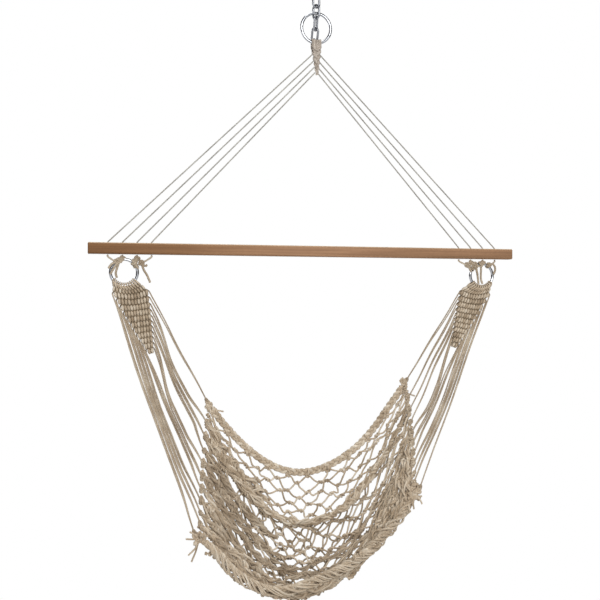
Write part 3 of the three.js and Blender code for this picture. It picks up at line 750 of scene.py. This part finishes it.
def roll(place_at, across, pairs, seed, thick, twist=44):
    """Net that hangs gathered along a line: pairs of strands twist as they wander."""
    pick = Random(seed).uniform
    length = sum((place_at((k + 1) / 20) - place_at(k / 20)).length for k in range(20))
    routes = []
    for _ in range(pairs):
        phases = [pick(0, 6.28) for _ in range(5)]
        waves = [length / pick(70, 190) for _ in range(4)]
        first, last = pick(0, 0.08), pick(0.9, 1)
        count = max(10, round(length * (last - first) / 9))
        line, wander = [], []
        for share in shares(count):
            t = lerp(first, last, share)
            slim = across * (0.35 + 0.65 * ease(min(t, 1 - t), 0, 0.12))
            rise, out = (wave(t * TURN * waves[i] + phases[i])
                         + 0.6 * wave(t * TURN * waves[i + 1] * 2 + phases[i + 1])
                         for wave, i in ((cos, 0), (sin, 2)))
            line.append(place_at(t))
            wander.append((rise * slim * 0.6, out * slim * 0.5))
        strands = ([], [])
        run = phases[4]
        for k, (place, (rise, out)) in enumerate(zip(line, wander)):
            along, normal, _ = ways_at(line, k)
            middle = place + normal * rise + AHEAD * out
            if k:
                run += (place - line[k - 1]).length / twist * TURN
            arm = (normal * cos(run) + AHEAD * sin(run)) * NET_STRAND * thick * 0.5
            strands[0].append(middle + arm)
            strands[1].append(middle - arm)
            if k % 4 == 1 and pick(0, 1) < 0.4:
                for route in twisted_knot(middle + arm, along, run, 8, 2.6):
                    routes.append((route, thick))
        for strand in strands:
            routes.append((smooth(strand, 3), thick))
    return routes


def fold(v, across, pairs, seed, start, end, thick=1.35):
    """A roll that lies across the seat."""
    return roll(lambda t: net_point(lerp(start, end, t), v), across, pairs, seed, thick)


def drape(u, high, lean, seed):
    """Strands that hang down over the rolls and the front rope."""
    def place_at(t):
        place = net_point(min(0.985, u + lean * t), lerp(high, 1.1, t))
        return place - AHEAD * lerp(2, 4, ease(t, 0, 0.8))
    return roll(place_at, 6.5, 1, seed, 1.25, 34)


def loops_on_rope(which, edge):
    """The net's last loops, each carried round the edge rope."""
    route = EDGES[which][0]
    radius = edge["rope"] / 2 + 0.4
    outs = []
    for i in range(2, NET_ACROSS - 1, 2):
        place = (i / NET_ACROSS) * (len(route) - 1)
        k = int(place)
        centre = route[k].lerp(route[k + 1], place - k)
        along, side, face = ways_at(route, k)
        loop = []
        for n in range(23):
            angle = n / 20 * TURN
            loop.append(centre + side * cos(angle) * radius
                        + face * sin(angle) * radius * 0.9 + along * (n / 20 - 0.5) * 4.5)
        outs.append((loop, 1))
    return outs


WRAPS = 11


def front_wraps():
    """The front rope's loops of net, drawn slantwise over it and below it."""
    pick = Random(31).uniform
    route = smooth(EDGES["front"][0], 4)
    count = len(route) - 1
    outs = []
    for s in range(WRAPS):
        spin = s / WRAPS * TURN
        wobble, wave = pick(0, 6.28), pick(5, 9)
        line = []
        for k, point in enumerate(route):
            _, side, _ = ways_at(route, k)
            if side.z > 0:
                side = -side
            share = k / count * 2 - 1
            rough = lerp(0.15, 0.34, ease(share, 0.1, 0.6))
            swell = (1 - share ** 8) * (1 + rough * sin(share * wave * 3 + wobble))
            # once round in 78 mm
            angle = spin + k * 4 / 78 * TURN + 0.5 * sin(share * wave + wobble)
            low = lerp(3, 9, max(0, -share)) * (1 - share ** 4)
            line.append(point + side * (cos(angle) * 8.5 * swell + low)
                        + AHEAD * sin(angle) * 8 * swell)
        outs.append((line, 1.05))
    # small loops of the net's last row that hang below
    for k in range(4, count - 4, 3):
        share = k / count * 2 - 1
        if pick(0, 1) < 0.35 + 0.3 * share:
            continue
        low = route[k] - UP * (pick(9, 13) + 7 * max(0, -share))
        low.y += pick(-7, 7)
        outs.append((knot_route(low, ACROSS, pick(8, 12), NET_STRAND, k), 0.95))
    return outs


def cluster(centre, seed, size, knots, tails):
    """Knots and cut ends where the cords of a fan are tied off together."""
    pick = Random(seed).uniform
    outs = []
    for k in range(knots):
        place = centre + Vector([pick(-0.5, 0.5) * size * s for s in (1, 0.7, 1)])
        towards = Vector([pick(-1, 1) for _ in range(3)])
        outs.append((knot_route(place, towards, pick(9, 13), 4, k), 1.2))
    for towards, length in tails:
        end = Vector(towards).normalized() * length
        curl = Vector((pick(-1, 1), pick(-1, 1), pick(-1, 0.4)))
        middle = centre + end * 0.5 + curl * length * 0.22
        outs.append((smooth([centre, middle, centre + end], 1.5), 1.2))
    return outs


front_net = mesh_layer(front_layer, NET_ACROSS, NET_DEEP, 7,
                       lambda u, j: 5 if j <= OPEN_ROWS else lerp(5.5, 3, abs(u)))
back_net = mesh_layer(folded_layer, FOLDED_ACROSS, FOLDED_ROWS, 8,
                      lambda u, j: lerp(6, 3, abs(u)))
quarter = (NET_DEEP + 1) / 4
net = [sum(front_net[round(quarter * k):round(quarter * (k + 1))], []) for k in range(4)]
net[0] += loops_on_rope("back", BACK)
net[3] += loops_on_rope("front", FRONT)
net += [sum(back_net[:9], []), sum(back_net[9:], [])]
for index, routes in enumerate(net):
    rope_piece(f"seat_net_part_{index + 1}", routes,
               BACK_CORD if index > 3 else NET_CORD, *[] if index else ["seat_net"])

# the strands that hang down at the right: across, from what depth, and their slant
DRAPES = ((0.97, 0.5, -0.03), (0.94, 0.46, 0), (0.9, 0.5, 0.03), (0.86, 0.55, 0.05),
          (0.82, 0.5, -0.05), (0.78, 0.62, 0.03), (0.73, 0.6, -0.03), (0.67, 0.68, 0.04),
          (0.6, 0.72, -0.05), (0.53, 0.76, 0.03), (0.45, 0.8, -0.04), (0.37, 0.84, 0.03),
          (0.95, 0.84, 0.04), (0.88, 0.86, -0.06), (0.8, 0.85, 0.06), (0.7, 0.86, -0.05),
          (0.63, 0.85, 0.06), (0.56, 0.88, -0.06), (0.48, 0.88, 0.06), (0.4, 0.9, -0.06))
# each fold: depth, how wide it wanders, its pairs of strands, seed, ends and thickness
FOLDS = {
    "upper": ((0.19, 7, 3, 21, -1, 0.72, 1.4), (0.205, 5, 1, 31, -1, 1, 1.3),
              (0.13, 12, 4, 32, -1, -0.42, 1.6)),
    "middle": ((0.34, 7, 2, 22, -1, -0.3), (0.44, 6, 2, 23, -1, -0.2),
               (0.49, 7, 1, 24, -0.6, 0.55), (0.54, 7, 2, 25, -1, 0.1),
               (0.57, 6, 1, 26, -0.3, 0.9)),
    "lower": ((0.64, 8, 2, 27, -1, 1, 1.5), (0.74, 8, 2, 28, -1, 1, 1.5),
              (0.84, 9, 3, 29, -1, 1, 1.5), (0.93, 8, 3, 30, -1, 1, 1.5)),
    "left": [(v, 5, 1, 40 + k, -1, -0.4, 1.75) for k, v in enumerate(ROLLS)],
    "right": [(v, 6, 1, 60 + k, 0.5, 1, 1.6) for k, v in enumerate(ROLLS[4:])],
}
folds = {which: sum((fold(*given) for given in lines), []) for which, lines in FOLDS.items()}
folds["right"] += sum((drape(*given, 80 + k) for k, given in enumerate(DRAPES)), [])
folds["front"] = front_wraps()
for which, routes in folds.items():
    rope_piece(f"seat_net_fold_{which}", routes,
               SIDE_CORD if which in ("left", "middle") else FOLD_CORD)

# knots at the corners: place, seed, size, number, and the cut ends' ways and lengths
(back_left, back_right), (front_left, front_right) = EDGES["back"][1], EDGES["front"][1]
ENDS = {
    "back_left": (back_left, 71, 13, 3, (((1, -0.4, -0.5), 34), ((-0.6, 0, 0.9), 15))),
    "back_right": (back_right, 72, 13, 3, (((0.7, -0.3, -0.9), 36), ((-0.3, 0, 1), 14))),
    "front_left": (front_left + Vector((6, -2, -4)), 73, 27, 11, (
        ((-1, -0.2, 0.1), 26), ((-0.7, -0.3, -0.9), 36), ((-0.4, -0.3, -1), 44),
        ((-0.9, 0.2, 0.7), 22))),
    "front_right": (front_right + Vector((-8, 0, -6)), 74, 22, 7, (
        ((-0.2, -0.3, -1), 30), ((0.5, -0.4, -0.8), 24), ((0.9, 0, -0.3), 16))),
}
for which, given in ENDS.items():
    rope_piece(f"seat_end_knots_{which}", cluster(*given), END_CORD)


# ---------- clew bands
# each band's ring, the way down its middle, and its rows' way at its tip and its top
BANDS = {}
for side, sign in SIDES:
    axis = even_seat_point(sign, CLEW_AIM) - LOWER_CENTRES[side]
    axis.y = 0
    axis.normalize()
    BANDS[sign] = LOWER_CENTRES[side], axis, Vector((-axis.z, 0, axis.x)) * sign, ACROSS * sign


def clew_half(row):
    return CLEW_TIP + (CLEW_ROWS - max(row, 1)) * (FAN_CORD + GAP)


def clew_point(band, line, reach, face):
    centre, axis, outward, level = band
    direction = level.lerp(outward, lerp(*ROW_TURN, line / CLEW_ROWS)).normalized()
    arch = max(0, 1 - (line - 1) / CLEW_ARCH_ROWS)
    depth = (CLEW_FIRST + (line - 1) * CLEW_PITCH
             - CLEW_ARCH * arch * (reach / clew_half(1)) ** 2)
    return centre + axis * depth + direction * reach + AHEAD * face


def ribs_in(row):
    """Where a row's ribs lie, as shares of its half width."""
    count = max(2, round(clew_half(row) * 2 / RIB_PITCH))
    return [(k + 0.5) / count * 2 - 1 for k in range(count)]


def wire_and_line(band, share):
    """A point of the ring's wire, and the one below it on the band's first line."""
    angle = share * radians(WRAP_ANGLE)
    out = band[3] * sin(angle) - UP * cos(angle)
    return out, band[0] + out * LOWER_RADIUS, clew_point(band, 1, share * clew_half(1), 0)


def band_routes(sign):
    band = BANDS[sign]
    pick = Random(11 + sign).uniform
    # how a rib swells over the core from end to end
    swells = [(t, sin(pi * t) ** 0.5) for t in shares(8)]
    routes = []
    for share in ribs_in(0):
        out, wire, low = wire_and_line(band, share)
        middle = wire.lerp(low, 0.52)
        # over the wire, down to the middle on both faces
        half = [(middle.lerp(wire, 0.06), 1), (middle.lerp(wire, 0.5), 5.6), (wire, 5.4)]
        loop = smooth([place - AHEAD * proud for place, proud in half] + [wire - out * 5]
                      + [place + AHEAD * proud for place, proud in reversed(half)], 1.2)
        # thinner where the turns crowd inside the ring
        routes.append((loop, [lerp(0.62, 0.8, clamped(((p - band[0]).length - 22) / 10))
                              for p in loop]))
        # and from there to the first line
        for face in (-1, 1):
            rib = [middle.lerp(low, lerp(0.1, 0.9, t)) + AHEAD * face * RIB_RISE * swell
                   - ACROSS * (t - 0.5) * 2.4 for t, swell in swells]
            routes.append((rib, [0.54 + 0.32 * swell for _, swell in swells]))
    for row in range(1, CLEW_ROWS + 1):
        ribs = ribs_in(row)
        for share in ribs:
            reach = share * clew_half(row) * (1 - 0.2 / len(ribs))
            slant = pick(0.2, 1.1) * -sign
            for face in (-1, 1):
                rib = [clew_point(band, row + lerp(0.11, 0.89, t),
                                  reach + slant * (t - 0.5) * 2, face * RIB_RISE * swell)
                       for t, swell in swells]
                routes.append((rib, [0.6 + 0.46 * swell for _, swell in swells]))
    return routes


def band_lines(sign):
    """The cords that the hitches are thrown over, deep in the grooves."""
    band = BANDS[sign]
    routes = []
    # six round the ring, from the wire to the first line
    for part in (0.3, 0.42, 0.54, 0.66, 0.78, 0.9):
        line = []
        for t in shares(12):
            _, wire, low = wire_and_line(band, (t * 2 - 1) * 0.9)
            line.append(wire.lerp(low, part))
        routes.append((smooth(line, 2), 0.7))
    for row in range(1, CLEW_ROWS + 1):
        half = clew_half(row) + GAP + FAN_CORD / 2
        for line_at, thick in ((0, 0.6), (0.2, 0.8), (0.4, 0.9), (0.6, 0.9), (0.8, 0.8)):
            line = []
            for share in (-1, -0.97, -0.92, -0.85, -0.6, -0.2, 0.2, 0.6, 0.85, 0.92, 0.97, 1):
                # the row's own cord turns down at its ends, where it leaves the band
                down = 0 if line_at else 0.5 * max(0, (abs(share) - 0.85) / 0.15) ** 1.4
                reach = half - (4 if line_at else 0)
                line.append(clew_point(band, row + line_at + down, share * reach, 0))
            routes.append((smooth(line, 1.5), thick))
    return routes


for side, sign in SIDES:
    name = f"clew_band_{side}"
    rope_piece(name + "_hitched", band_routes(sign), HITCH_CORD, name)
    # the cords in the grooves wear the darker cotton: painted shade
    rope_piece(name + "_core", band_lines(sign), GROOVE_SHADE_CORD)


# ---------- fan cords
def fan_line(sign, pair):
    """Where a pair of cords leaves the band, and the knot that it ends in."""
    face = (1 if pair % 2 else -1) * (FAN_CORD + GAP) / 2
    starts = []
    for place in (pair * 2, pair * 2 + 1):
        # down the band's inner side, then up its outer one
        row, side = (place + 1, -1) if place < CLEW_ROWS else (CLEW_ROWS * 2 - place, 1)
        reach = clew_half(row) + GAP + FAN_CORD * (1 if place == CLEW_ROWS else 0.5)
        starts.append(clew_point(BANDS[sign], row + 0.5, side * reach, face))
    share = pair / (CLEW_ROWS - 1)
    anchor, hold = seat_point(sign, share + 0.08 * sin(pi * share)), NET_CORNER
    for which, edge, last in (("back", BACK, 0), ("front", FRONT, CLEW_ROWS - 1)):
        if pair == last:
            anchor, hold = EDGES[which][1][sign > 0], edge["knot"] / 2
    pull = (starts[0].lerp(starts[1], 0.5) - anchor).normalized()
    knot = anchor + pull * (hold + GAP + FAN_KNOT / 2 * cos(pi / 5))
    return starts, knot, pull


def at_height(first, end, z):
    return first.lerp(end, clamped((first.z - z) / (first.z - end.z)))


# which pairs of cords lie side by side, on the left and on the right
FAN_BUNDLES = {-1: ((0,), (1, 2, 3), (4, 5, 6), (7, 8, 9, 10)),
               1: ((0,), (1,), (2,), (3,), (4, 5, 6), (7, 8, 9), (10,))}
# how far apart the cords of a bundle lie, and how much of the way they fall in
BUNDLE_PITCH, BUNDLE_PULL = 3.1, 0.92


def fan_routes(sign, pair):
    """Two cords that fall in beside their neighbours on the way down, and part again."""
    starts, knot, pull = fan_line(sign, pair)
    pick = Random(100 + pair + sign).uniform
    bundle = next(b for b in FAN_BUNDLES[sign] if pair in b)
    lines = []
    for member in bundle:
        firsts, end, _ = fan_line(sign, member)
        lines += [(first, end) for first in firsts]
    height = sum((first.z + end.z) / 2 for first, end in lines) / len(lines)
    order = sorted(range(len(lines)), key=lambda k: at_height(*lines[k], height).x)
    routes = [(knot_route(knot, pull, FAN_KNOT, FAN_CORD, pair), 1.2),
              (knot_route(knot + Vector((sign * -2, 2, -4)), ACROSS,
                          FAN_KNOT + pick(0, 4), FAN_CORD, pair + 1), 1.2)]
    for half, start in enumerate(starts):
        slot = order.index(bundle.index(pair) * 2 + half) - (len(lines) - 1) / 2
        route = []
        for t in shares(48):
            own = start.lerp(knot, t)
            near = sum((at_height(*line, own.z) for line in lines), Vector()) / len(lines)
            near += Vector((slot * BUNDLE_PITCH + sign * 7 * sin(pi * t),
                            1.5 * sin(slot * 2.4 + t * 3), 0))
            pull_in = (len(lines) > 2) * BUNDLE_PULL * ease(t, 0, 0.5) * (1 - ease(t, 0.74, 1))
            sway = Vector((sin(t * 9 + pair * 0.3), cos(t * 8 + pair), 0)) * 1.3
            route.append(own + Vector((near.x - own.x, near.y - own.y, 0)) * pull_in
                         + sway * sin(pi * t))
        routes.append((route, pick(1.04, 1.14) if len(lines) > 2 else 0.96))
    return routes


for side, sign in SIDES:
    for pair in range(CLEW_ROWS):
        name = f"clew_cords_{side}_{pair + 1:02d}"
        rope_piece(name + "_laid", fan_routes(sign, pair), HUNG_CORD, name)

# ---------- floor, light and camera
WHITE = (1, 1, 1, 1)
bpy.ops.mesh.primitive_plane_add(size=40, location=(0, 0, -2.1))
floor = bpy.context.object
floor.name = "floor"
# a pale matt floor that lifts the shadows from below
material, add, skin = new_material("pale_floor", Base_Color=linear("#F4F4F3"), Roughness=0.8)
# white to the eye, whatever light falls on it
glow = add("Emission", {"Color": WHITE, "Strength": 1})
path = add("LightPath").outputs
shine = add("Math", [path["Is Glossy Ray"], path["Is Transmission Ray"]], operation="MAXIMUM")
seen = add("Math", [path["Is Camera Ray"], shine], operation="MAXIMUM")
join(add("MixShader", [seen, skin, glow]),
     material.node_tree.nodes["Material Output"].inputs["Surface"])
floor.data.materials.append(material)

world = bpy.data.worlds.new("studio")
bpy.context.scene.world = world
world.use_nodes = True
add = partial(add_node, world.node_tree)
sky = world.node_tree.nodes["Background"]
sky.inputs["Color"].default_value = WHITE
sky.inputs["Strength"].default_value = 0.24
path = add("LightPath").outputs
place = add("TexCoord").outputs["Generated"]
way = add("SeparateXYZ", [place]).outputs
# the metal sees the white floor and a white wall behind the camera; the rest of the
# studio is dark
behind = add("Math", [way["Y"], -1], operation="MULTIPLY")
wall = add("MapRange", {0: behind, 1: 0.72, 2: 0.94, 3: 0, 4: 1})
bands = add("Mix", {0: wall, 6: linear("#3A3B40"), 7: WHITE}, data_type="RGBA")
studio = add("Background", {"Color": bands.outputs[2], "Strength": 1})
white = add("Background", {"Color": WHITE, "Strength": 1})
lit = add("MixShader", [path["Is Glossy Ray"], sky, studio])
seen = add("Math", [path["Is Camera Ray"], path["Is Transmission Ray"]], operation="MAXIMUM")
join(add("MixShader", [seen, lit, white]),
     world.node_tree.nodes["World Output"].inputs["Surface"])


def placed(name, data, place, look):
    """A lamp or a camera, turned to look along a direction."""
    thing = new_object(name, data)
    thing.location = place
    thing.rotation_euler = look.to_track_quat("-Z", "Y").to_euler()
    return thing


# each lamp: its place, the height it is aimed at on the chair's middle, its size in
# metres and its watts
for name, place, aim, size, power in (("key", (-0.1, -3.4, 0.6), -0.85, 1.7, 86),
                                      ("back", (-1.3, 2.6, 0.4), -0.7, 1.2, 22),
                                      ("top", (-0.2, 0, 1.7), -0.7, 1, 26)):
    data = bpy.data.lights.new(name, "AREA")
    data.size = size
    data.energy = power
    placed(name, data, place, Vector((0, 0, aim)) - Vector(place))

camera_data = bpy.data.cameras.new("camera")
camera_data.sensor_width = 36
camera_data.lens = 52.83
turn, tilt = radians(14.373), radians(0.283)
look = Vector((sin(turn) * cos(tilt), cos(turn) * cos(tilt), sin(tilt)))
bpy.context.scene.camera = placed("camera", camera_data, (-0.4840, -1.7541, -0.6404), look)
bpy.context.scene.view_settings.view_transform = "Standard"
